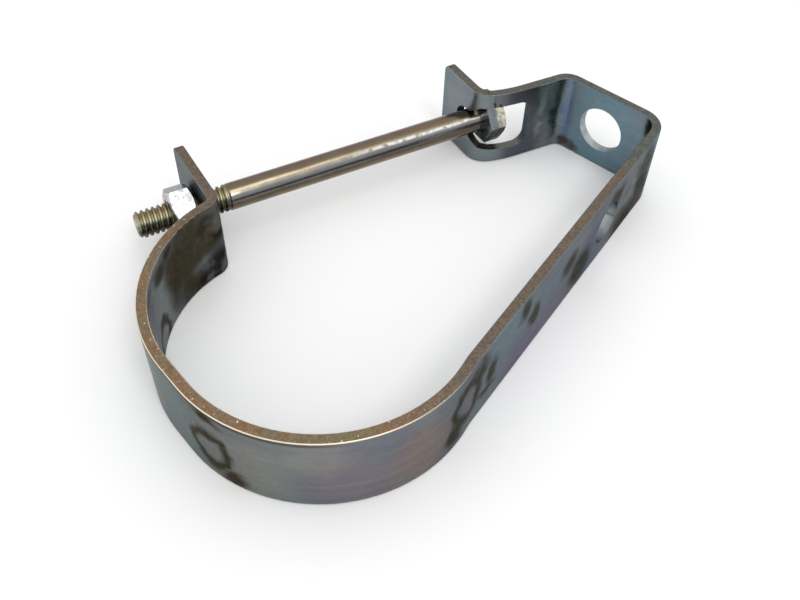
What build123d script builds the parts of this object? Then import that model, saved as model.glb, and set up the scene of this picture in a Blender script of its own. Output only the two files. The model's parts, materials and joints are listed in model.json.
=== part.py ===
"""Open strap hanger for 2 in pipe: one folded steel strap closed by a hexagon bolt and nut.

Millimetres and degrees. The pipe's axis is Z, with the strap's lower edge on Z = 0, so the
hanger lies on its side. +Y points from the pipe towards the rod that carries the hanger.
"""

from build123d import *
import math
import os

# Strap: sheet and pipe seat
pipe_diameter = 60.3
seat_clearance = 0.1
strap_width = 20.6
strap_thickness = 2.3
tip_corner_radius = 1.6
edge_radius = 0.3

# Strap: route from the seat up the arm, round the rod flange and out to the right ear
seat_start_angle = 262.3
seat_arc_angle = 112.0
ease_radius = 18.75
ease_angle = 6.5
arm_length = 81.2
corner_radius = 4.75
corner_angle = 82.2
flange_length = 19.53
shoulder_radius = 2.55
shoulder_angle = 68.46
tab_length = 10.91
sag_radius = 30.0
sag_angle = 15.0
right_fold_radius = 3.3
right_fold_angle = 70.56
right_ear_length = 11.8

# Strap: route from the seat back to the left ear
flat_length = 5.9
wrap_angle = 85.2
left_fold_radius = 1.5
left_fold_angle = 75.7
left_ear_length = 19.3

# Strap: holes
rod_hole_diameter = 11.9
rod_hole_to_corner = 9.7
side_hole_diameter = 10.6
side_hole_to_corner = 23.4
left_hole_to_fold = 8.7
slot_width = 7.1
slot_end_to_fold = 5.2
window_height = 13.4
window_end_height = 12.9
throat_height = 12.2
window_to_shoulder = 8.9
window_corner_radius = 3.0

# Bolt and nut, 1/4 in
shank_diameter = 6.35
thread_diameter = 6.2
bolt_length = 88.9
thread_length = 20.3
thread_runout = 1.6
thread_point = 0.7
hex_across_flats = 11.1
hex_face_diameter = 10.4
hex_chamfer_angle = 30.0
head_height = 4.9
nut_height = 5.6
nut_countersink = 0.45

# Fits
hole_clearance = 0.375
thread_clearance = 0.08
head_gap = 1.1
nut_gap = 0.6
bolt_to_fold = 0.4

seat_radius = pipe_diameter / 2 + seat_clearance
mid_width = strap_width / 2
sheet_middle = strap_thickness / 2
through = 3 * strap_thickness
right_fold_loop_radius = right_fold_radius + strap_thickness
left_fold_loop_radius = left_fold_radius + strap_thickness
shank_radius = shank_diameter / 2
thread_radius = thread_diameter / 2
nut_bore_radius = thread_radius + thread_clearance
ear_hole_radius = shank_radius + hole_clearance
hex_radius = hex_across_flats / 2
hex_corner_radius = hex_radius / math.cos(math.radians(30))
hex_face_radius = hex_face_diameter / 2
hex_chamfer_drop = (hex_corner_radius - hex_face_radius) * math.tan(math.radians(hex_chamfer_angle))
up = Vector(0, 0, 1)


def sheet_plane(stretch, distance):
    """Plane on the strap's loop side, at a distance along one stretch of it.

    X follows the stretch as drawn, and Z points to the right of it.
    """
    share = distance / stretch.length
    along = stretch % share
    origin = stretch @ share + up * mid_width
    return Plane(origin, x_dir=along, z_dir=along.cross(up))


def axial_plane(origin, direction):
    """Plane through the bolt's axis for turned profiles: X is the radius, Y the length."""
    return Plane(origin, x_dir=up, z_dir=up.cross(direction))


# Line of the strap's loop side: from the seat forward to the right ear, then back to the left
with BuildLine() as loop_side:
    seat = CenterArc((0, 0), seat_radius, seat_start_angle, seat_arc_angle)
    ease = JernArc(seat @ 1, seat % 1, ease_radius, -ease_angle)
    arm = PolarLine(ease @ 1, arm_length, direction=ease % 1)
    corner = JernArc(arm @ 1, arm % 1, corner_radius, corner_angle)
    flange = PolarLine(corner @ 1, flange_length, direction=corner % 1)
    shoulder = JernArc(flange @ 1, flange % 1, shoulder_radius, shoulder_angle)
    tab = PolarLine(shoulder @ 1, tab_length, direction=shoulder % 1)
    sag = JernArc(tab @ 1, tab % 1, sag_radius, -sag_angle)
    right_fold = JernArc(sag @ 1, sag % 1, right_fold_loop_radius, -right_fold_angle)
    right_ear = PolarLine(right_fold @ 1, right_ear_length, direction=right_fold % 1)
    flat = PolarLine(seat @ 0, flat_length, direction=-(seat % 0))
    wrap = JernArc(flat @ 1, flat % 1, seat_radius, -wrap_angle)
    left_fold = JernArc(wrap @ 1, wrap % 1, left_fold_loop_radius, left_fold_angle)
    left_ear = PolarLine(left_fold @ 1, left_ear_length, direction=left_fold % 1)

# Keyhole: lengths from the middle of the sag and of the fold
sag_middle = sag.length / 2
fold_middle = right_fold.length / 2
window_start = window_to_shoulder - tab_length - sag_middle

# Bolt axis: it crosses the middle of the sheet in both ears
left_ear_hole = sheet_plane(left_ear, left_hole_to_fold)
left_crossing = left_ear_hole.origin - left_ear_hole.z_dir * sheet_middle
right_ear_hole = sheet_plane(right_ear, bolt_to_fold)
right_crossing = right_ear_hole.origin + right_ear_hole.z_dir * sheet_middle
to_head = (right_crossing - left_crossing).normalized()
to_tip = -to_head
head_seat = right_crossing + to_head * (sheet_middle + head_gap)
nut_seat = left_crossing + to_tip * (sheet_middle + nut_gap)
bolt_axis = Axis(head_seat, to_tip)

# Strap: the folded sheet with square corners rounded at both ears' tips
with BuildPart() as strap:
    with BuildSketch():
        with BuildLine():
            add(loop_side.line)
            offset(amount=strap_thickness, side=Side.LEFT, closed=True)
        make_face()
    extrude(amount=strap_width)
    tip_edges = strap.edges().filter_by(GeomType.LINE).group_by(SortBy.LENGTH)[0]
    fillet(tip_edges, tip_corner_radius)
    sides = strap.faces().filter_by(Plane.XY)
    fillet(sides.edges(), edge_radius)
    with BuildSketch(sheet_plane(flange, rod_hole_to_corner)):
        Circle(rod_hole_diameter / 2)
    extrude(amount=through, both=True, mode=Mode.SUBTRACT)
    with BuildSketch(sheet_plane(arm, arm_length - side_hole_to_corner)):
        Circle(side_hole_diameter / 2)
    extrude(amount=through, both=True, mode=Mode.SUBTRACT)
    with BuildSketch(sheet_plane(left_ear, left_hole_to_fold)):
        Circle(ear_hole_radius)
    extrude(amount=through, both=True, mode=Mode.SUBTRACT)
    # Keyhole: a window in the tab that narrows round the fold into a slot in the ear
    with BuildSketch(sheet_plane(sag, sag_middle)):
        with BuildLine():
            Polyline(
                (window_start, window_height / 2),
                (0, window_height / 2),
                (sag_middle, window_end_height / 2),
                (sag_middle, -window_end_height / 2),
                (0, -window_height / 2),
                (window_start, -window_height / 2),
                close=True,
            )
        window = make_face()
        fillet(window.vertices().group_by(Axis.X)[0], window_corner_radius)
    extrude(amount=through, both=True, mode=Mode.SUBTRACT)
    with BuildSketch(sheet_plane(right_fold, fold_middle)):
        with BuildLine():
            Polyline(
                (-fold_middle, window_end_height / 2),
                (0, throat_height / 2),
                (fold_middle, slot_width / 2),
                (fold_middle, -slot_width / 2),
                (0, -throat_height / 2),
                (-fold_middle, -window_end_height / 2),
                close=True,
            )
        make_face()
    extrude(amount=through, both=True, mode=Mode.SUBTRACT)
    with BuildSketch(sheet_plane(right_ear, 0)):
        slot_run = slot_end_to_fold - slot_width / 2
        Rectangle(slot_run, slot_width, align=(Align.MIN, Align.CENTER))
        with Locations((slot_run, 0)):
            Circle(slot_width / 2)
    extrude(amount=through, both=True, mode=Mode.SUBTRACT)

# Bolt: hexagon head with turned corners, plain shank and a plain cylinder for the thread
with BuildPart() as bolt:
    with BuildSketch(Plane(head_seat, x_dir=up, z_dir=to_head)):
        RegularPolygon(hex_radius, 6, major_radius=False)
    extrude(amount=head_height)
    with BuildSketch(axial_plane(head_seat, to_head)):
        with BuildLine():
            Polyline(
                (0, 0),
                (hex_corner_radius, 0),
                (hex_corner_radius, head_height - hex_chamfer_drop),
                (hex_face_radius, head_height),
                (0, head_height),
                close=True,
            )
        make_face()
    revolve(axis=bolt_axis, mode=Mode.INTERSECT)
    with BuildSketch(axial_plane(head_seat, to_tip)):
        with BuildLine():
            Polyline(
                (0, 0),
                (shank_radius, 0),
                (shank_radius, bolt_length - thread_length - thread_runout),
                (thread_radius, bolt_length - thread_length),
                (thread_radius, bolt_length - thread_point),
                (thread_radius - thread_point, bolt_length),
                (0, bolt_length),
                close=True,
            )
        make_face()
    revolve(axis=bolt_axis)

# Nut: hexagon with turned corners on both faces and a countersunk bore
with BuildPart() as nut:
    with BuildSketch(Plane(nut_seat, x_dir=up, z_dir=to_tip)):
        RegularPolygon(hex_radius, 6, major_radius=False)
    extrude(amount=nut_height)
    with BuildSketch(axial_plane(nut_seat, to_tip)):
        with BuildLine():
            Polyline(
                (nut_bore_radius + nut_countersink, 0),
                (hex_face_radius, 0),
                (hex_corner_radius, hex_chamfer_drop),
                (hex_corner_radius, nut_height - hex_chamfer_drop),
                (hex_face_radius, nut_height),
                (nut_bore_radius + nut_countersink, nut_height),
                (nut_bore_radius, nut_height - nut_countersink),
                (nut_bore_radius, nut_countersink),
                close=True,
            )
        make_face()
    revolve(axis=bolt_axis, mode=Mode.INTERSECT)

strap.part.label = "strap"
bolt.part.label = "bolt"
nut.part.label = "nut"
os.makedirs("parts", exist_ok=True)
export_step(strap.part, "parts/strap.step")
export_step(bolt.part, "parts/bolt.step")
export_step(nut.part, "parts/nut.step")
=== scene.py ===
"""Looks of the open strap hanger: plated steel, a cut thread, and a hexagon bolt head and nut.

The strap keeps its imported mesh. The bolt and the nut get meshes of their own with more detail. Lengths are
metres unless a comment says millimetres.
"""

import json
import math

import bmesh
import bpy
from mathutils import Matrix, Vector


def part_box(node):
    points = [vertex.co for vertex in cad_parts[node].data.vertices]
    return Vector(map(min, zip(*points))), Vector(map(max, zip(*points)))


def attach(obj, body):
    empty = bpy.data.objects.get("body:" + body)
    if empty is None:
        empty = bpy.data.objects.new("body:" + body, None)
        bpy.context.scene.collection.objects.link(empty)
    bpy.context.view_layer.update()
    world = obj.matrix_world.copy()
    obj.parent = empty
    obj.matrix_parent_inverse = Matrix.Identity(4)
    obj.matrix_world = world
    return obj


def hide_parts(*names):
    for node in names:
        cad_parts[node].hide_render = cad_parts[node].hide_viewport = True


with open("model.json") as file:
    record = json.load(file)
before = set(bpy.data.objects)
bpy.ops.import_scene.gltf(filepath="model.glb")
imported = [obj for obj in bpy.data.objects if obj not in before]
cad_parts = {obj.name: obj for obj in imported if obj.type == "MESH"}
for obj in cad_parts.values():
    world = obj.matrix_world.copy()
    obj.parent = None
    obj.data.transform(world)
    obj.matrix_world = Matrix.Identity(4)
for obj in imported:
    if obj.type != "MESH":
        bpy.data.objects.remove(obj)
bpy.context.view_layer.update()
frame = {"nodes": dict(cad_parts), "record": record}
nodes = frame["nodes"]
record = frame["record"]

# ---------------------------------------------------------------- sizes, in metres
MM = 0.001
joints = {joint["name"]: joint for joint in record["behaviour"]["joints"]}
mounts = {mount["name"]: mount for mount in record["mounts"]}
head_seat = Vector(joints["bolt_turn"]["pos_m"])
to_head = Vector(joints["bolt_turn"]["axis"]).normalized()
to_tip = -to_head
BOLT_LENGTH = 88.9 * MM
SHANK_R = 3.175 * MM
THREAD_R = 3.1 * MM
THREAD_DEPTH = 0.58 * MM
PITCH = 1.27 * MM
THREAD_LENGTH = 20.3 * MM
RUNOUT = 1.6 * MM
POINT = 0.7 * MM
HEX_R = 5.55 * MM
FACE_R = 5.2 * MM
HEAD_H = 4.9 * MM
HEAD_TURN = math.radians(26)
NUT_H = 5.6 * MM
BORE_R = 3.18 * MM
COUNTERSINK = 0.45 * MM
EDGE_ROUND = 0.08 * MM
EDGE_DROP = 0.03 * MM
FACE_ROUND = 0.05 * MM
CENTRE_R = 0.1 * MM
SHANK_START_R = 0.2 * MM
TIP_FACE_R = 1.2 * MM
CHAMFER_SLOPE = math.tan(math.radians(30))
THREAD_START = BOLT_LENGTH - THREAD_LENGTH
RUNOUT_START = THREAD_START - RUNOUT

# Mesh steps
AROUND = 72
SHANK_ROWS = 24
ROWS_PER_TURN = 14
HEX_STEPS = 192

# Thread profile, as shares of half a turn
CREST_SHARE = 0.22
SLOPE_SHARE = 0.70


# ---------------------------------------------------------------- node helpers
class Tree:
    """Short names for building one material's node tree."""

    def __init__(self, name):
        self.material = bpy.data.materials.new(name)
        self.material.use_nodes = True
        self.tree = self.material.node_tree
        self.tree.nodes.clear()
        self.out = self.tree.nodes.new("ShaderNodeOutputMaterial")

    def node(self, kind, inputs=None, **settings):
        made = self.tree.nodes.new(kind)
        for key, value in settings.items():
            setattr(made, key, value)
        for key, value in (inputs or {}).items():
            self.put(made.inputs[key], value)
        return made

    def put(self, socket, value):
        if isinstance(value, bpy.types.NodeSocket):
            self.tree.links.new(value, socket)
        else:
            socket.default_value = value

    def math(self, operation, a, b=0.0):
        return self.node("ShaderNodeMath", {0: a, 1: b}, operation=operation).outputs[0]

    def times(self, first, *others):
        for other in others:
            first = self.math("MULTIPLY", first, other)
        return first

    def vec(self, operation, a, b=(0, 0, 0)):
        made = self.node("ShaderNodeVectorMath", {0: a, 1: b}, operation=operation)
        return made.outputs["Value"] if operation in ("LENGTH", "DOT_PRODUCT") else made.outputs[0]

    def noise(self, vector, scale, detail=3.0, rough=0.55, distortion=0.0):
        inputs = {"Vector": vector, "Scale": scale, "Detail": detail, "Roughness": rough}
        made = self.node("ShaderNodeTexNoise", {**inputs, "Distortion": distortion})
        return made.outputs["Fac"]

    def ramp(self, value, low, high, to_low=0.0, to_high=1.0, smooth=True):
        made = self.node(
            "ShaderNodeMapRange",
            {"Value": value, "From Min": low, "From Max": high, "To Min": to_low, "To Max": to_high},
            interpolation_type="SMOOTHSTEP" if smooth else "LINEAR",
        )
        return made.outputs["Result"]

    def mix(self, fac, a, b):
        made = self.node("ShaderNodeMix", {"Factor": fac}, data_type="RGBA")
        self.put(made.inputs[6], a if isinstance(a, bpy.types.NodeSocket) else (*a, 1.0))
        self.put(made.inputs[7], b if isinstance(b, bpy.types.NodeSocket) else (*b, 1.0))
        return made.outputs[2]

    def far(self, vector, centre, size):
        """Distance from a centre in units of a size, both in millimetres along X, Y and Z."""
        offset = self.vec("SUBTRACT", vector, tuple(v * MM for v in centre))
        return self.vec("LENGTH", self.vec("DIVIDE", offset, tuple(v * MM for v in size)))

    def spot(self, vector, centre, size, soft):
        """1 inside an ellipsoid given in millimetres, fading to 0 over a soft edge."""
        return self.ramp(self.far(vector, centre, size), 1 + soft, 1 - soft)

    def loop(self, vector, centre, size, width=0.27, soft=0.22):
        """1 on the skin of an ellipsoid given in millimetres, fading to 0 on both sides."""
        off = self.math("ABSOLUTE", self.math("SUBTRACT", self.far(vector, centre, size), 1.0))
        return self.ramp(off, width + soft, width - soft)

    def most(self, values):
        total = values[0]
        for value in values[1:]:
            total = self.math("MAXIMUM", total, value)
        return total

    def bands(self, value, stops):
        """Colours along a value of 0 to 1, from stops of position and screen colour."""
        made = self.node("ShaderNodeValToRGB", {"Fac": value})
        marks = made.color_ramp.elements
        for position, _ in stops[2:]:
            marks.new(position)
        for mark, (position, color) in zip(marks, sorted(stops)):
            mark.position = position
            mark.color = (*srgb(*color), 1.0)
        return made.outputs["Color"]

    def bore(self, vector, mount):
        """1 on the wall of a round hole given by a mount of the record, 0 off it."""
        offset = self.vec("SUBTRACT", vector, tuple(mount["pos_m"]))
        along = self.vec("DOT_PRODUCT", offset, tuple(mount["axis"]))
        reach = self.math("POWER", self.vec("LENGTH", offset), 2.0)
        square = self.math("SUBTRACT", reach, self.math("POWER", along, 2.0))
        radius = mount["dims"]["r_mm"] * MM
        near = self.ramp(square, (radius + 0.12 * MM) ** 2, (radius + 0.02 * MM) ** 2, smooth=False)
        return self.times(near, self.ramp(self.math("ABSOLUTE", along), 4 * MM, 3 * MM))

    def stretch(self, vector, scale):
        return self.node("ShaderNodeMapping", {"Vector": vector, "Scale": scale}).outputs[0]

    def coords(self):
        return self.node("ShaderNodeTexCoord").outputs["Object"]

    def shader(self, color, roughness, metallic=1.0, normal=None, **more):
        linked = isinstance(color, bpy.types.NodeSocket)
        made = self.node("ShaderNodeBsdfPrincipled")
        self.put(made.inputs["Base Color"], color if linked else (*color, 1.0))
        self.put(made.inputs["Roughness"], roughness)
        self.put(made.inputs["Metallic"], metallic)
        if normal is not None:
            self.put(made.inputs["Normal"], normal)
        for key, value in more.items():
            self.put(made.inputs[key.replace("_", " ")], value)
        self.tree.links.new(made.outputs[0], self.out.inputs["Surface"])

    def bump(self, height, distance, strength, normal=None):
        made = self.node("ShaderNodeBump", {"Height": height, "Distance": distance, "Strength": strength})
        if normal is not None:
            self.put(made.inputs["Normal"], normal)
        return made.outputs[0]


def srgb(r, g, b):
    """Colour of 0 to 255 screen values as linear numbers."""
    shares = (r / 255, g / 255, b / 255)
    return tuple(c / 12.92 if c <= 0.04045 else ((c + 0.055) / 1.055) ** 2.4 for c in shares)


# ---------------------------------------------------------------- materials
SWIRL_REACH = 5.8 * MM
BOLT_TILT = math.radians(42)
# Patches of plating tint and painted reflection on the faces; the lightest are painted highlights
TINTS_AND_REFLECTIONS = [
    # colour, centre and size in mm, strength
    ((148, 160, 160), (-14, -28, 10), (14, 9, 30), 0.8),
    ((142, 143, 138), (10, -31, 9), (12, 6, 13), 0.85),
    ((118, 122, 124), (12, -30, 19), (15, 6, 3), 0.6),
    ((138, 128, 136), (26, -18, 6), (6, 7, 8), 0.6),
    ((152, 132, 122), (32, -6, 8), (4, 7, 9), 0.65),
    ((150, 146, 138), (22, -23, 15), (6, 5, 5), 0.6),
    ((118, 140, 150), (29, 22, 15), (4, 9, 8), 0.8),
    ((126, 112, 142), (28, 32, 3), (4, 14, 5), 0.8),
    ((116, 128, 146), (26, 41, 14), (4, 7, 9), 0.7),
    ((118, 172, 188), (20.5, 91.5, 13), (4, 4, 9), 0.85),
    ((92, 98, 128), (24, 60, 8), (3, 6, 9), 0.7),
    ((98, 130, 144), (4, 94, 10), (11, 2, 18), 0.85),
    ((188, 206, 204), (-11.2, 87.8, 14), (1.2, 1.3, 9), 0.9),
    ((108, 118, 136), (-13.6, 83, 8), (2, 3, 9), 0.6),
    ((96, 112, 146), (-6.6, 93.8, 12), (1.5, 1.2, 13), 0.75),
    ((58, 80, 84), (-9.4, 91.5, 12), (0.9, 1.3, 14), 0.8),
    ((150, 158, 166), (-26, 75, 12), (7, 3, 9), 0.5),
    ((160, 166, 166), (-30, -18, 9), (5, 5, 12), 0.7),
    ((134, 138, 140), (-46, 8, 12), (8, 4, 14), 0.6),
]
# Brown patches of stain and painted dark reflection
STAINS_AND_REFLECTIONS = [
    # centre and size in mm
    ((7.8, -31.6, 2.2), (2.8, 3, 2.8)),
    ((3.0, -32.4, 18.2), (3.0, 2, 1.5)),
    ((30.8, 12.0, 15.5), (2, 2.6, 2.6)),
    ((30.3, 16.0, 10.0), (2, 1.8, 4.0)),
    ((30.7, 14.5, 5.5), (2, 3.6, 1.3)),
    ((32.2, 3.0, 5.0), (2, 2.6, 3.0)),
    ((28.7, 28.0, 17), (2, 2.4, 3.0)),
    ((28.0, 32.6, 11.0), (2, 2.8, 3.0)),
    ((25.8, 48.5, 13.0), (2, 3.4, 3.0)),
    ((25.0, 54.5, 7.0), (2, 4.4, 4.4)),
    ((20.7, 86.0, 8), (3.4, 4.4, 10)),
    ((22.9, 70.3, 15.8), (2, 3.8, 3.2)),
    ((21.9, 78.5, 3.0), (2, 8, 4.6)),
    ((-35.5, -4, 11), (4, 9.5, 16)),
    ((-33.4, -10.5, 12), (4, 4.6, 9)),
    ((-31.4, -15.5, 17.5), (3, 3, 2.6)),
    ((-16.3, 75.9, 18), (0.35, 0.5, 2.6)),
    ((-15.2, 77.4, 18), (0.35, 0.5, 2.6)),
    ((-6.0, 94.1, 1.6), (3.2, 1.5, 2.0)),
    ((16.2, 93.0, 18.6), (1.4, 2, 3.4)),
    ((-46.0, 10.5, 15.5), (3.4, 1.6, 4.0)),
]
DEEP = [
    # the darkest places: stain deepened by painted dark reflection and shade
    ((21, 84, 7), (4, 8, 12)),
    ((-36, 2, 2), (3, 7, 6)),
    ((-38, 3, 15), (5, 5, 5)),
    ((-33.5, -11, 15), (3, 3, 5)),
    ((24.8, 56, 5), (2, 4, 4)),
]
LOOPS = [
    # rings of stain and painted dark reflection, with a clear middle
    ((2.8, -32.5, 8.8), (4.2, 4.2, 4.6)),
    ((31.8, 7.0, 11.0), (4.0, 4.4, 5.6)),
    ((-28.8, -19.2, 2.5), (3.0, 3.4, 4.6)),
]


def strap_face(t, p, warped, noises):
    """Blue-grey faces with tints, painted reflections, painted shade, and brown patches of stain and painted
    dark reflection: their colour, and the share under those brown patches.
    """
    cloud, streak, grain = noises
    face = t.mix(t.ramp(cloud, 0.40, 0.62), srgb(124, 136, 138), srgb(120, 120, 130))
    # Patches of tint and painted reflection
    for color, centre, size, share in TINTS_AND_REFLECTIONS:
        face = t.mix(t.times(t.spot(warped, centre, size, 0.6), share), face, srgb(*color))
    face = t.mix(t.times(t.ramp(streak, 0.35, 0.75), 0.15), face, srgb(170, 174, 174))

    # Painted light and shade: lighter on the arm and the flange, darker on the tab
    shade = t.math("ADD", 0.92, t.times(t.spot(p, (27, 45, 10), (9, 48, 60), 0.3), 0.14))
    shade = t.math("ADD", shade, t.times(t.spot(p, (5, 95, 10), (14, 4, 40), 0.2), 0.10))
    tab = t.spot(p, (-13, 84, 8), (3.5, 7, 30), 0.4)
    shade = t.math("SUBTRACT", shade, t.times(tab, 0.42))
    inputs = {"Color": face, "Value": shade, "Saturation": 1.02}
    face = t.node("ShaderNodeHueSaturation", inputs).outputs[0]
    face = t.mix(t.times(t.ramp(grain, 0.35, 0.75), 0.12), face, srgb(84, 88, 96))

    # Brown patches and rings of stain and painted dark reflection
    marks = [t.spot(warped, centre, size, 0.55) for centre, size in STAINS_AND_REFLECTIONS]
    marks += [t.loop(warped, centre, size) for centre, size in LOOPS]
    clear = t.times(t.spot(warped, (-36, -1.0, 5.0), (3, 3.2, 3.0), 0.8), 0.85)
    stain_and_reflection = t.times(t.most(marks), t.ramp(grain, 0.2, 0.5, 0.74, 0.93))
    stain_and_reflection = t.times(stain_and_reflection, t.math("SUBTRACT", 1.0, clear))
    face = t.mix(stain_and_reflection, face, t.mix(t.ramp(cloud, 0.4, 0.6), srgb(70, 56, 42), srgb(56, 52, 32)))
    # Painted dark reflection and shade, near black, at the darkest places
    deep = t.most([t.spot(p, centre, size, 0.4) for centre, size in DEEP])
    darkest_reflection_and_shade = t.times(deep, t.ramp(t.noise(warped, 110.0, 3.0), 0.38, 0.55), 0.9)
    return t.mix(darkest_reflection_and_shade, face, srgb(22, 20, 8)), stain_and_reflection


def strap_rim(t, p, y, front, grain):
    """Sheared edges: bronze at the front, greener at the back, with grain and painted glints as bright
    specks at the front.
    """
    fine = t.noise(p, 2500.0, 2.0)
    bronze = t.mix(t.ramp(t.noise(p, 140.0, 2.0), 0.42, 0.6), srgb(130, 104, 80), srgb(120, 110, 88))
    rim = t.mix(t.ramp(y, 70 * MM, 80 * MM), srgb(103, 93, 85), srgb(86, 96, 94))
    rim = t.mix(front, rim, bronze)
    rim = t.mix(t.times(t.ramp(fine, 0.42, 0.6), 0.30), rim, srgb(166, 146, 124))
    rim = t.mix(t.times(t.ramp(grain, 0.5, 0.72), 0.40), rim, srgb(86, 74, 60))
    # Painted glints: bright specks on the front edges
    painted_glint = t.times(t.ramp(t.noise(p, 1500.0, 1.0, 0.5), 0.70, 0.76), front)
    return t.mix(painted_glint, rim, srgb(250, 235, 205))


def strap_material():
    """Bright zinc on rolled strip, with sheared edges and bare hole walls."""
    t = Tree("zinc_strap")
    p = t.coords()
    normal = t.node("ShaderNodeTexCoord").outputs["Normal"]
    lift = t.math("ABSOLUTE", t.node("ShaderNodeSeparateXYZ", {0: normal}).outputs["Z"])
    parts = t.node("ShaderNodeSeparateXYZ", {0: p}).outputs
    y, z = parts["Y"], parts["Z"]
    cloud = t.noise(p, 60.0, 3.0, 0.55, 0.4)
    streak = t.noise(t.stretch(p, (30, 30, 900)), 1.0, 4.0, 0.6)
    grain = t.noise(p, 900.0, 3.0, 0.6)
    swirl = t.node("ShaderNodeTexNoise", {"Vector": p, "Scale": 190.0, "Detail": 4.0}).outputs["Color"]
    shift = t.vec("MULTIPLY", t.vec("SUBTRACT", swirl, (0.5, 0.5, 0.5)), (SWIRL_REACH,) * 3)
    warped = t.vec("ADD", p, shift)

    front = t.ramp(y, 10 * MM, -20 * MM)
    edge = t.ramp(lift, 0.55, 0.90)
    face, stain_and_reflection = strap_face(t, p, warped, (cloud, streak, grain))
    color = t.mix(edge, face, strap_rim(t, p, y, front, grain))

    # Painted highlight along the rounded outer edge of the front, with a dark line under it
    outward = t.ramp(t.vec("DOT_PRODUCT", p, normal), 0.0, 4 * MM)
    turned = t.times(t.ramp(lift, 0.22, 0.5), t.ramp(lift, 0.98, 0.85))
    edge_highlight = t.times(turned, outward, t.ramp(z, 18 * MM, 19.5 * MM), front)
    edge_highlight = t.times(edge_highlight, t.ramp(cloud, 0.3, 0.5, 0.55, 1.0))
    color = t.mix(edge_highlight, color, srgb(252, 238, 208))
    under = t.times(t.ramp(z, 19.3 * MM, 19.8 * MM), t.ramp(lift, 0.3, 0.1), outward)
    under = t.times(under, t.ramp(y, -18 * MM, -26 * MM), 0.6)
    color = t.mix(under, color, srgb(70, 52, 38))

    walls = t.most([t.bore(p, mounts["rod_hole"]), t.bore(p, mounts["side_hole"])])
    bare = t.mix(t.ramp(cloud, 0.4, 0.6), srgb(186, 192, 192), srgb(120, 132, 136))
    color = t.mix(walls, color, bare)

    rough = t.math("ADD", t.ramp(streak, 0.3, 0.7, 0.24, 0.32), t.times(edge, 0.12))
    rough = t.math("ADD", rough, t.times(stain_and_reflection, 0.10))
    bump = t.bump(streak, 0.01 * MM, 0.4)
    bump = t.bump(t.times(grain, edge), 0.08 * MM, 0.5, bump)
    t.shader(color, rough, 1.0, bump, Specular_Tint=(0.46, 0.47, 0.47, 1.0))
    return t.material


# Direction across the bolt that its painted light and dark bands follow
side_way = Vector((0, 0, 1)).cross(to_tip).normalized()
side_way = side_way if side_way.x > 0 else -side_way
upward = Vector((0, 0, 1)) * math.cos(BOLT_TILT)
BOLT_ACROSS = (upward - side_way * math.sin(BOLT_TILT)).normalized()


def bolt_material():
    """Bright zinc drawn shank and a duller olive thread, both with painted lengthwise bands of light and
    shade, and a painted highlight streak on the shank.
    """
    t = Tree("zinc_bolt")
    p = t.coords()
    offset = t.vec("SUBTRACT", p, tuple(head_seat))
    across = t.math("DIVIDE", t.vec("DOT_PRODUCT", offset, tuple(BOLT_ACROSS)), SHANK_R)
    along = t.vec("DOT_PRODUCT", offset, tuple(to_tip))
    cloud = t.noise(p, 110.0, 3.0, 0.5, 0.5)
    fine = t.noise(p, 1800.0, 2.0)
    drawn = t.noise(offset, 420.0, 3.0, 0.6)
    wander = t.times(t.math("SUBTRACT", cloud, 0.5), 0.35)
    level = t.math("ADD", t.times(t.math("ADD", across, wander), 0.5), 0.5)
    # Painted light and shade in bands round the shank
    shank = t.bands(level, [
        (0.00, (136, 122, 102)), (0.07, (114, 100, 80)), (0.18, (82, 74, 64)), (0.29, (120, 117, 117)),
        (0.40, (116, 118, 122)), (0.51, (148, 145, 134)), (0.62, (176, 162, 138)), (0.73, (122, 110, 88)),
        (0.84, (114, 98, 82)), (0.95, (94, 82, 76)),
    ])
    shank = t.mix(t.times(t.ramp(drawn, 0.4, 0.7), 0.25), shank, srgb(128, 118, 104))
    # Painted highlight streak along the shank, fading towards the thread
    painted_streak = t.times(t.ramp(level, 0.47, 0.54), t.ramp(level, 0.65, 0.58))
    painted_streak = t.times(painted_streak, t.ramp(along, 46 * MM, 22 * MM), t.ramp(drawn, 0.36, 0.56))
    shank = t.mix(painted_streak, shank, srgb(236, 238, 236))
    # Painted light and shade in bands round the thread
    thread = t.bands(level, [
        (0.00, (70, 52, 34)), (0.22, (58, 52, 36)), (0.42, (104, 110, 88)), (0.54, (172, 172, 150)),
        (0.68, (170, 160, 126)), (0.84, (140, 126, 92)), (1.00, (112, 94, 76)),
    ])
    thread = t.mix(t.times(t.ramp(fine, 0.45, 0.65), 0.3), thread, srgb(190, 186, 164))
    cut = t.ramp(along, RUNOUT_START, THREAD_START)
    color = t.mix(cut, shank, thread)
    rough = t.math("ADD", t.ramp(fine, 0.3, 0.7, 0.17, 0.24), t.times(cut, 0.22))
    t.shader(color, rough, 1.0, t.bump(drawn, 0.03 * MM, 0.3))
    return t.material


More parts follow.
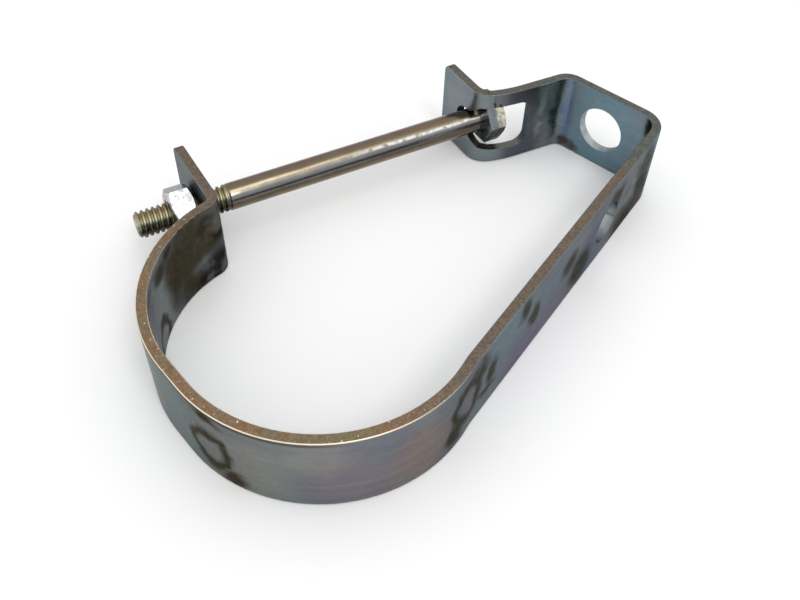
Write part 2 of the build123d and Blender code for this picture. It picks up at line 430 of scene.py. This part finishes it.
def hexagon_material(name, stops, seat_until):
    """Bright zinc with painted light and shade that changes from flat to flat, and is grey by the seat."""
    t = Tree(name)
    p = t.coords()
    normal = t.node("ShaderNodeTexCoord").outputs["Normal"]
    across = t.vec("DOT_PRODUCT", normal, tuple(BOLT_ACROSS))
    along = t.vec("DOT_PRODUCT", t.vec("SUBTRACT", p, tuple(head_seat)), tuple(to_head))
    cloud = t.noise(p, 260.0, 3.0, 0.55, 0.5)
    fine = t.noise(p, 1800.0, 2.0)
    level = t.math("ADD", t.times(across, 0.5), 0.5)
    level = t.math("ADD", level, t.times(t.math("SUBTRACT", cloud, 0.5), 0.08))
    # Painted light and shade from flat to flat
    color = t.bands(level, stops)
    color = t.mix(t.ramp(along, seat_until, seat_until - 0.6 * MM), color, srgb(124, 134, 136))
    mottle = t.ramp(t.noise(p, 700.0, 4.0, 0.65), 0.42, 0.62)
    color = t.mix(t.times(mottle, 0.7), color, srgb(112, 114, 122))
    t.shader(color, t.ramp(fine, 0.3, 0.7, 0.2, 0.3), 1.0, t.bump(cloud, 0.06 * MM, 0.35))
    return t.material


# ---------------------------------------------------------------- meshes
def mesh_object(name, verts, faces, material, body, sharp=60):
    """A smooth skin with sharp edges above an angle in degrees, riding on a body."""
    data = bpy.data.meshes.new(name)
    data.from_pydata(verts, [], faces)
    data.validate()
    skin = bmesh.new()
    skin.from_mesh(data)
    bmesh.ops.recalc_face_normals(skin, faces=skin.faces)
    skin.to_mesh(data)
    skin.free()
    data.shade_smooth()
    data.set_sharp_from_angle(angle=math.radians(sharp))
    made = bpy.data.objects.new(name, data)
    bpy.context.scene.collection.objects.link(made)
    data.materials.append(material)
    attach(made, body)
    return made


AXIS_FRAME = Matrix((Vector((0, 0, 1)).cross(to_tip), Vector((0, 0, 1)), to_tip)).transposed()


def place(radius, angle, along, origin=head_seat):
    """Point at a radius and angle about the bolt's axis, along towards the tip from origin."""
    local = Vector((radius * math.sin(angle), radius * math.cos(angle), along))
    return origin + AXIS_FRAME @ local


def rings_to_mesh(rings):
    """Quads between equal rings of points. The first and last rings stay open."""
    count = len(rings[0])
    verts = [point for ring in rings for point in ring]
    faces = []
    for r in range(len(rings) - 1):
        low, high = r * count, (r + 1) * count
        for i in range(count):
            j = (i + 1) % count
            faces.append((low + i, low + j, high + j, high + i))
    return verts, faces


def thread_height(phase):
    """Share of the depth cut away, with rounded flanks, at a phase counted in turns."""
    share = abs((phase % 1.0) - 0.5) * 2
    slope = min(1.0, max(0.0, (share - CREST_SHARE) / SLOPE_SHARE))
    return 0.5 - 0.5 * math.cos(math.pi * slope)


def hex_radius(angle):
    """Distance from a hexagon's centre to its outline."""
    fold = angle % (math.pi / 3) - math.pi / 6
    return HEX_R / math.cos(fold)


def shank_row(along):
    """Radius of each point round the bolt, at a distance from the head's seat on the thread."""
    blend = min(1.0, max(0.0, (along - RUNOUT_START) / RUNOUT))
    crest = SHANK_R + (THREAD_R - SHANK_R) * blend
    cone = THREAD_R - POINT + (BOLT_LENGTH - along)
    row = []
    for i in range(AROUND):
        radius = crest - THREAD_DEPTH * thread_height(along / PITCH - i / AROUND) * blend
        row.append((min(radius, cone), along))
    return row


def shank_mesh():
    """Shank and thread in one skin: rings run round the axis, and the groove follows a helix."""
    rows = [[(SHANK_START_R, 0.0)] * AROUND, [(SHANK_R, 0.0)] * AROUND]
    for k in range(1, SHANK_ROWS + 1):
        rows.append([(SHANK_R, RUNOUT_START * k / SHANK_ROWS)] * AROUND)
    total = int((THREAD_LENGTH + RUNOUT) / PITCH * ROWS_PER_TURN)
    for k in range(1, total + 1):
        rows.append(shank_row(RUNOUT_START + (THREAD_LENGTH + RUNOUT) * k / total))
    rows.append([(TIP_FACE_R, BOLT_LENGTH)] * AROUND)
    rows.append([(CENTRE_R, BOLT_LENGTH)] * AROUND)
    turn = 2 * math.pi / AROUND
    return rings_to_mesh([[place(r, turn * i, a) for i, (r, a) in enumerate(row)] for row in rows])


def hexagon_mesh(origin, direction_sign, height, both, bore, turn=0.0):
    """A hexagon with turned corners on one or both faces, round a bore or down to the centre."""
    inner = bore + COUNTERSINK if bore else CENTRE_R

    def profile(angle):
        corner = hex_radius(angle)
        drop = (corner - FACE_R) * CHAMFER_SLOPE
        low = drop if both else 0.0
        high = height - drop
        points = [(inner, 0.0)]
        if both:
            points.append((FACE_R - FACE_ROUND, 0.0))
        points += [
            (corner - EDGE_ROUND, max(0.0, low - EDGE_DROP)),
            (corner, low + EDGE_ROUND),
            (corner, high - EDGE_ROUND),
            (corner - EDGE_ROUND, high + EDGE_DROP),
            (FACE_R + FACE_ROUND, height - EDGE_DROP),
            (FACE_R - EDGE_ROUND, height),
            (inner, height),
        ]
        if bore:
            wall = [(bore, height - COUNTERSINK), (bore, COUNTERSINK)]
            points = [(bore, COUNTERSINK), *points, *wall]
        return points

    columns = []
    for i in range(HEX_STEPS):
        angle = 2 * math.pi * i / HEX_STEPS
        ring_points = profile(angle)
        columns.append([place(r, angle + turn, direction_sign * a, origin) for r, a in ring_points])
    return rings_to_mesh(list(zip(*columns)))


# Painted light and shade across the flats of the head and the nut
HEAD_STOPS = [
    (0.00, (84, 76, 84)), (0.20, (104, 98, 100)), (0.32, (214, 208, 190)), (0.48, (220, 214, 196)),
    (0.60, (150, 152, 148)), (0.86, (112, 120, 122)), (1.00, (96, 102, 104)),
]
NUT_STOPS = [
    (0.00, (70, 62, 56)), (0.20, (104, 92, 84)), (0.44, (132, 122, 112)), (0.54, (150, 142, 134)),
    (0.60, (200, 200, 200)), (0.74, (206, 206, 208)), (0.86, (122, 108, 98)), (1.00, (104, 90, 80)),
]
# How far from the head's seat the grey reaches. The nut's value is past the tip, so it has none
HEAD_GREY_UNTIL = 2.6 * MM
NUT_GREY_UNTIL = -1.0

material_strap = strap_material()
material_bolt = bolt_material()
material_head = hexagon_material("zinc_head", HEAD_STOPS, HEAD_GREY_UNTIL)
material_nut = hexagon_material("zinc_nut", NUT_STOPS, NUT_GREY_UNTIL)
nodes["strap"].data.materials.clear()
nodes["strap"].data.materials.append(material_strap)

verts, faces = shank_mesh()
shank = mesh_object("bolt_shank", verts, faces, material_bolt, "bolt")
verts, faces = hexagon_mesh(head_seat, -1, HEAD_H, False, 0, HEAD_TURN)
head = mesh_object("bolt_head", verts, faces, material_head, "bolt", sharp=24)
nut_low, nut_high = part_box("nut")
nut_middle = (nut_low + nut_high) / 2
nut_seat = nut_middle - to_tip * NUT_H / 2
verts, faces = hexagon_mesh(nut_seat, 1, NUT_H, True, BORE_R)
nut = mesh_object("nut_body", verts, faces, material_nut, "nut", sharp=24)
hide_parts("bolt")
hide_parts("bolt")
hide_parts("nut")

# ---------------------------------------------------------------- floor, lights, camera
FLOOR_SIZE = 6.0
FLOOR_DROP = 0.2 * MM
floor_tree = Tree("floor")
floor_tree.shader((0.93, 0.93, 0.93), roughness=0.9, metallic=0.0)
bpy.ops.mesh.primitive_plane_add(size=FLOOR_SIZE, location=(0, 0, -FLOOR_DROP))
floor = bpy.context.object
floor.name = "floor"
floor.data.materials.append(floor_tree.material)

world = bpy.data.worlds.new("studio")
bpy.context.scene.world = world
world.use_nodes = True
tree = world.node_tree
background = tree.nodes["Background"]
rays = tree.nodes.new("ShaderNodeLightPath").outputs
seen = rays["Is Camera Ray"]
for ray in ("Is Glossy Ray", "Is Transmission Ray"):
    either = tree.nodes.new("ShaderNodeMath")
    either.operation = "MAXIMUM"
    tree.links.new(seen, either.inputs[0])
    tree.links.new(rays[ray], either.inputs[1])
    seen = either.outputs[0]
strength = tree.nodes.new("ShaderNodeMapRange")
strength.inputs["To Min"].default_value = 0.97
strength.inputs["To Max"].default_value = 1.0
tree.links.new(seen, strength.inputs["Value"])
tree.links.new(strength.outputs["Result"], background.inputs["Strength"])
background.inputs["Color"].default_value = (1, 1, 1, 1)


def area_light(name, location, target, size, power):
    data = bpy.data.lights.new(name, "AREA")
    data.shape = "DISK"
    data.size = size
    data.energy = power
    lamp = bpy.data.objects.new(name, data)
    lamp.location = location
    lamp.rotation_euler = (Vector(target) - Vector(location)).to_track_quat("-Z", "Y").to_euler()
    bpy.context.scene.collection.objects.link(lamp)


area_light("key", (0.153, 0.047, 0.80), target=(0, 0.03, 0), size=0.40, power=0.62)
area_light("side", (0.425, -0.135, 0.64), target=(-0.037, 0.035, 0.01), size=0.20, power=0.9)

CAMERA_PLACE = Vector((0.08667, -0.07849, 0.15294))
CAMERA_LENS = 41.02
CAMERA_SENSOR = 36
PITCH_DOWN = math.radians(48.55)
HEADING = math.radians(40.5)
ROLL = math.radians(2.04)
right = Vector((math.cos(HEADING), math.sin(HEADING), 0))
ahead = Vector((-math.sin(HEADING), math.cos(HEADING), 0))
forward = ahead * math.cos(PITCH_DOWN) + Vector((0, 0, -math.sin(PITCH_DOWN)))
up = ahead * math.sin(PITCH_DOWN) + Vector((0, 0, math.cos(PITCH_DOWN)))
camera_right = right * math.cos(ROLL) + up * math.sin(ROLL)
camera_up = up * math.cos(ROLL) - right * math.sin(ROLL)
camera_data = bpy.data.cameras.new("camera")
camera_data.sensor_width = CAMERA_SENSOR
camera_data.lens = CAMERA_LENS
camera_data.clip_start = 0.01
camera = bpy.data.objects.new("camera", camera_data)
rotation = Matrix((camera_right, camera_up, -forward)).transposed().to_4x4()
camera.matrix_world = Matrix.Translation(CAMERA_PLACE) @ rotation
bpy.context.scene.collection.objects.link(camera)
bpy.context.scene.camera = camera

bpy.context.scene.view_settings.view_transform = "Standard"
